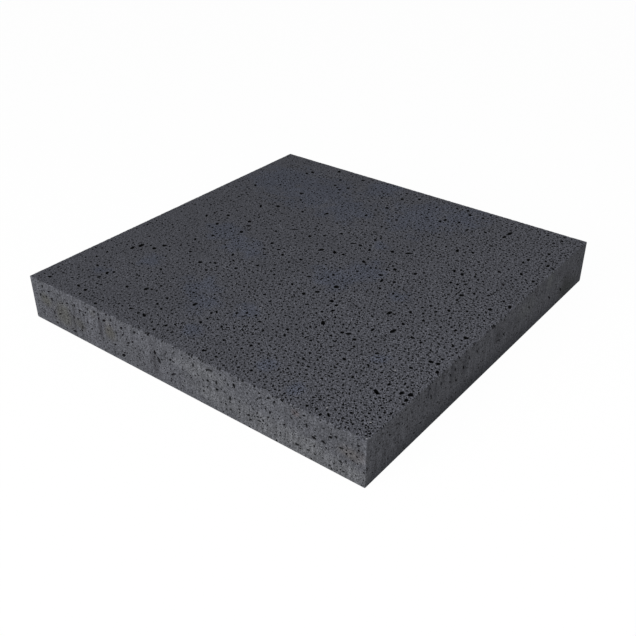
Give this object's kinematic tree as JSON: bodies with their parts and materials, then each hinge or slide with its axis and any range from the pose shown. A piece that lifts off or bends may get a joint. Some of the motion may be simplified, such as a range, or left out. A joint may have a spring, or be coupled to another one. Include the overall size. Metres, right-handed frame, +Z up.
{
  "type": "concrete paving slab",
  "caption": "Square cast concrete paving slab, dark grey, with plain upright sides, crisp edges and a finely pitted wearing face, laid flat as paving.",
  "frame": {"origin": "middle of the bed face, which is the underside that lies on the ground", "axes": "+Z up through the thickness, from the bed face to the wearing face; X and Y along the sides"},
  "size_m": [0.6, 0.6, 0.07],
  "materials": {
    "pitted_concrete": "matte"
  },
  "bodies": {
    "root": {"slab": "pitted_concrete"}
  },
  "joints": []
}
